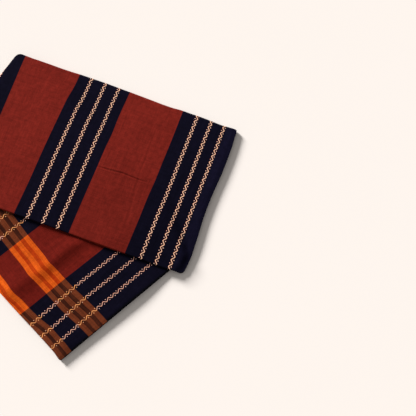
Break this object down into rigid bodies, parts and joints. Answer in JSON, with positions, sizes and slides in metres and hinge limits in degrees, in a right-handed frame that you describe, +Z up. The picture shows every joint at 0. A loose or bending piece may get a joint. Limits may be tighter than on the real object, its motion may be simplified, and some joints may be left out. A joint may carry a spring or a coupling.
{
  "type": "folded saree",
  "caption": "Handloom cotton saree folded flat into a layered pack and turned over itself on a slant, so its striped end shows as a lower flap; a garment to lay, stack or display.",
  "frame": {"origin": "middle of the folded pack's outline, on the surface that it lies on", "axes": "+Z up out of the surface, +X along the folded pack from the slanting fold towards the selvedge end, +Y across the pack away from the flap"},
  "size_m": [0.618, 0.5867, 0.018],
  "materials": {
    "body_cloth": "matt handloom cotton, brick red with dark navy bands that carry cream zigzag lines",
    "pallu_cloth": "matt handloom cotton, brick red and navy crossed by orange stripes",
    "inner_cloth": "matt handloom cotton, the edges of the hidden plies"
  },
  "bodies": {
    "root": {"body_ply": "body_cloth", "fold_ply": "body_cloth", "under_ply": "body_cloth", "pallu_ply": "pallu_cloth", "upper_layers": "inner_cloth", "lower_layers": "inner_cloth"}
  },
  "joints": []
}
